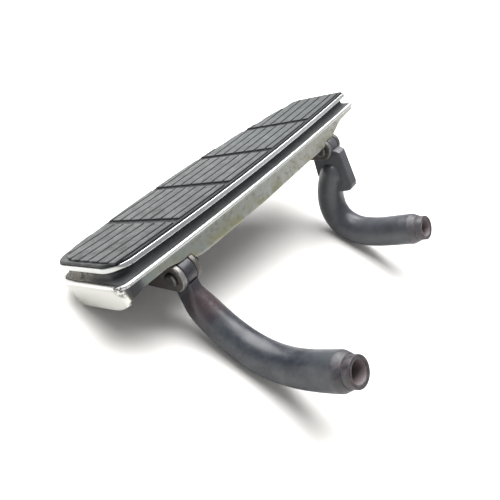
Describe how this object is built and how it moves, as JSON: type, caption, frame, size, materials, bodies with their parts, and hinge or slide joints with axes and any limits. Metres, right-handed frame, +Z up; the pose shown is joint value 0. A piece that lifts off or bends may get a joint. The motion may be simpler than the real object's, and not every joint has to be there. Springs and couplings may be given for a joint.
{
  "type": "motorcycle floorboard",
  "caption": "Folding rider's floorboard with a ribbed rubber tread pad, cast base board and bent support arms.",
  "frame": {"origin": "centre of the rear arm's bored end face, where a stud bolts it to the motorcycle", "axes": "+X along the board from its rear end to its front end, +Y outwards from the motorcycle, +Z up"},
  "size_m": [0.3377, 0.2293, 0.1512],
  "materials": {
    "tread_rubber": "worn",
    "damper_rubber": "matte",
    "plated_steel": "polished",
    "cast_aluminium": "oxidised",
    "worn_black_paint": "worn, rusted",
    "plain_steel": "dull"
  },
  "bodies": {
    "rear_arm_body": {"rear_arm": "worn_black_paint"},
    "board": {"tread_pad": "tread_rubber", "damper_mat": "damper_rubber", "tread_plate": "plated_steel", "base_board": "cast_aluminium", "rear_bracket": "worn_black_paint", "front_bracket": "worn_black_paint", "rear_hinge_pin": "plain_steel", "front_hinge_pin": "plain_steel", "rear_pin_washer": "plain_steel", "front_pin_washer": "plain_steel", "rear_cotter_pin": "plain_steel", "front_cotter_pin": "plain_steel", "plate_nut_rear_inner": "plain_steel", "plate_nut_rear_outer": "plain_steel", "plate_washer_rear_inner": "plain_steel", "plate_washer_rear_outer": "plain_steel", "bracket_screw_rear_back": "plain_steel", "bracket_screw_rear_forward": "plain_steel", "lock_washer_rear_back": "plain_steel", "lock_washer_rear_forward": "plain_steel", "plate_nut_front_inner": "plain_steel", "plate_nut_front_outer": "plain_steel", "plate_washer_front_inner": "plain_steel", "plate_washer_front_outer": "plain_steel", "bracket_screw_front_back": "plain_steel", "bracket_screw_front_forward": "plain_steel", "lock_washer_front_back": "plain_steel", "lock_washer_front_forward": "plain_steel"},
    "front_arm_body": {"front_arm": "worn_black_paint"}
  },
  "joints": [
    {"name": "board_fold", "type": "hinge", "parent": "rear_arm_body", "child": "board", "pos_m": [0, 0.131, 0.0734], "axis": [1, 0, 0], "range_deg": [0, 40]},
    {"name": "front_arm_swing", "type": "hinge", "parent": "board", "child": "front_arm_body", "pos_m": [0.224, 0.131, 0.0734], "axis": [1, 0, 0], "range_deg": [-40, 0]}
  ],
  "couplings": [
    {"joint": "front_arm_swing", "follows": "board_fold", "ratio": -1}
  ]
}
